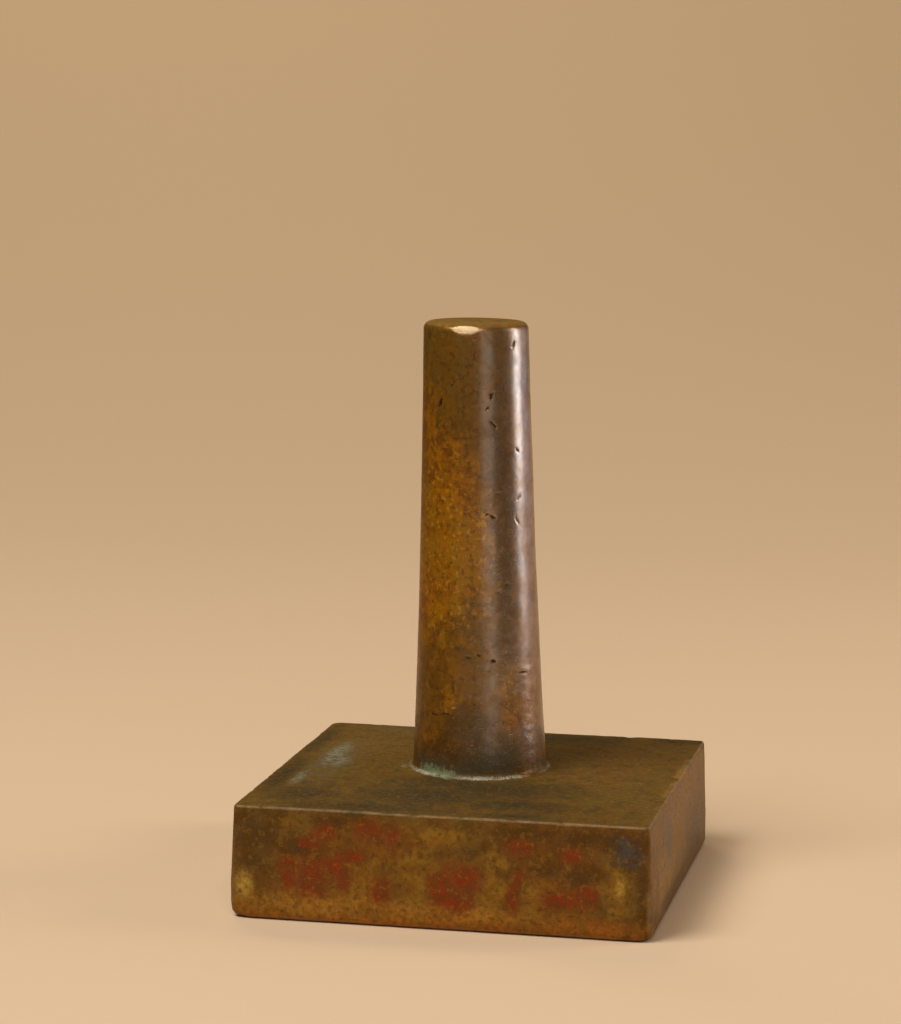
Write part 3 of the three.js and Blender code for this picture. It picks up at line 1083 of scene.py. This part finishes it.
def fine_relief(r, polished, pores, scratches, corroded):
    """The bump of the fine surface. Hands have smoothed the handle's upper part."""
    lift = r.times(r.grain[0], 0.010)
    lift = r.math("ADD", lift, r.times(r.small[0], 0.025))
    lift = r.math("SUBTRACT", lift, r.times(scratches, 0.018))
    lift = r.math("SUBTRACT", lift, r.times(pores, 0.03))
    if polished:
        lift = r.times(lift, r.step(r.mask("near_foot"), 0, 1, 0.3, 1.3))
    else:
        lift = r.times(lift, 1.5)
    lift = r.math("ADD", lift, r.times(corroded, 0.05))
    # The lift is in millimetres
    return r.add("Bump", {"Height": lift, "Distance": MM, "Strength": 1.0}).outputs[0]


def bronze_material(name, polished):
    """Old bronze. The handle is polished by hands, the plate is duller."""
    if polished:
        r = Recipe(name, metallic=0.5, roughness=0.36)
    else:
        r = Recipe(name, metallic=0.35, roughness=0.46)
    lay_body(r, polished)
    lay_finishes(r, polished)
    pores, scratches = lay_specks(r, polished)
    top = r.step(r.mask("is_top"), 0.2, 0.8)
    r.metallic = r.times(r.metallic, r.math("SUBTRACT", 1, top))
    # Wear, and a painted highlight along the plate's top edges
    worn = lay_wear_and_highlight(r, polished)

    # Hollows hold dirt
    hollow = r.ragged(r.mask("hollow"), r.grain[1], 1.2, 0.35)
    r.tint(hollow, DIRT, 0.85)
    r.roughness = r.blend_value(hollow, r.roughness, 0.8)

    corroded = lay_corrosion(r)
    dull = r.times(top, r.math("SUBTRACT", 1, worn))
    r.roughness = r.blend_value(dull, r.roughness, 0.85)
    r.roughness = r.math("ADD", r.roughness, r.step(r.grain[0], 0.35, 0.65, -0.06, 0.08))
    relief = fine_relief(r, polished, pores, scratches, corroded)

    inputs = {"Base Color": r.colour, "Metallic": r.metallic, "Roughness": r.roughness}
    inputs |= {"Normal": relief, "Specular IOR Level": 0.12}
    if polished:
        # The polish is a coat, broken where dirt or corrosion lies
        uneven = r.step(r.mottle[2], 0.38, 0.58, 0.62, 1.05)
        clean = r.math("SUBTRACT", 1, r.math("MAXIMUM", hollow, corroded))
        coat = r.times(r.times(r.mask("gloss"), uneven), clean)
        inputs |= {"Coat Weight": coat, "Coat Normal": relief}
        inputs |= {"Coat IOR": 2.4, "Coat Roughness": 0.26}
    r.fill(r.tree.nodes["Principled BSDF"], inputs)
    return r.material


def dress(seal):
    """Gives the handle the polished finish and the plate the dull one."""
    mesh = seal.data
    mesh.materials.append(bronze_material("handled_bronze", True))
    mesh.materials.append(bronze_material("plate_bronze", False))
    for face in mesh.polygons:
        face.material_index = 0 if face.center.z > (PLATE_HEIGHT + 0.05) * MM else 1


# Setting

def make_floor():
    """A pale sweep of paper: a floor that curves up far behind the seal. It is only a little
    wider than the camera's view, so that the handle mirrors a dark room beside it."""
    front = -250
    right = 300
    left_at_seal = -150
    left_slope = -0.42
    turn_start = 370
    turn_radius = 1500
    top = 2600
    steps = 40
    profile = [(front, 0), (0, 0), (turn_start, 0)]
    for i in range(1, steps + 1):
        angle = math.pi / 2 * i / steps
        rise = turn_radius * (1 - math.cos(angle))
        profile.append((turn_start + turn_radius * math.sin(angle), rise))
    profile.append((turn_start + turn_radius, top))
    vertices = []
    for y, z in profile:
        left = left_at_seal + left_slope * max(y, 0)
        vertices += [(left * MM, y * MM, z * MM), (right * MM, y * MM, z * MM)]
    faces = [(2 * i, 2 * i + 1, 2 * i + 3, 2 * i + 2) for i in range(len(profile) - 1)]
    mesh = bpy.data.meshes.new("paper_sweep")
    mesh.from_pydata(vertices, [], faces)
    mesh.shade_smooth()
    paper = bpy.data.materials.new("pale_paper")
    paper.use_nodes = True
    shader = paper.node_tree.nodes["Principled BSDF"]
    shader.inputs["Base Color"].default_value = (*PAPER, 1)
    shader.inputs["Roughness"].default_value = 0.9
    shader.inputs["Specular IOR Level"].default_value = 0.1
    mesh.materials.append(paper)
    placed("paper_sweep", mesh)


def make_camera():
    camera = bpy.data.cameras.new("camera")
    camera.lens = CAMERA_LENS
    camera.sensor_width = 36
    camera.clip_start = 0.01
    camera.clip_end = 10
    view = placed("camera", camera)
    # A camera looks down its own -Z: upright, turned to the seal, tipped down, then rolled
    turn = Matrix.Rotation(CAMERA_YAW, 4, "Z")
    tip = Matrix.Rotation(math.pi / 2 - CAMERA_PITCH, 4, "X")
    roll = Matrix.Rotation(CAMERA_ROLL, 4, "Z")
    view.matrix_world = Matrix.Translation(CAMERA_PLACE) @ turn @ tip @ roll
    bpy.context.scene.camera = view


def soft_light(name, place, aim, size, power, colour):
    """A rectangular soft light, place and size in millimetres, facing the point aim."""
    light = bpy.data.lights.new(name, "AREA")
    light.shape = "RECTANGLE"
    light.size = size[0] * MM
    light.size_y = size[1] * MM
    light.energy = power
    light.color = colour
    lamp = placed(name, light)
    lamp.location = Vector(place) * MM
    lamp.rotation_euler = (Vector(aim) - Vector(place)).to_track_quat("-Z", "Y").to_euler()


def light_the_room():
    for light in LIGHTS:
        soft_light(*light)
    world = bpy.data.worlds.new("studio")
    world.use_nodes = True
    background = world.node_tree.nodes["Background"]
    background.inputs["Color"].default_value = (*ROOM, 1)
    background.inputs["Strength"].default_value = 0.06
    bpy.context.scene.world = world


seal = seal_object()
dress(seal)
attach(seal, "root")
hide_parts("seal")

make_floor()
make_camera()
light_the_room()
bpy.context.scene.view_settings.view_transform = "Standard"
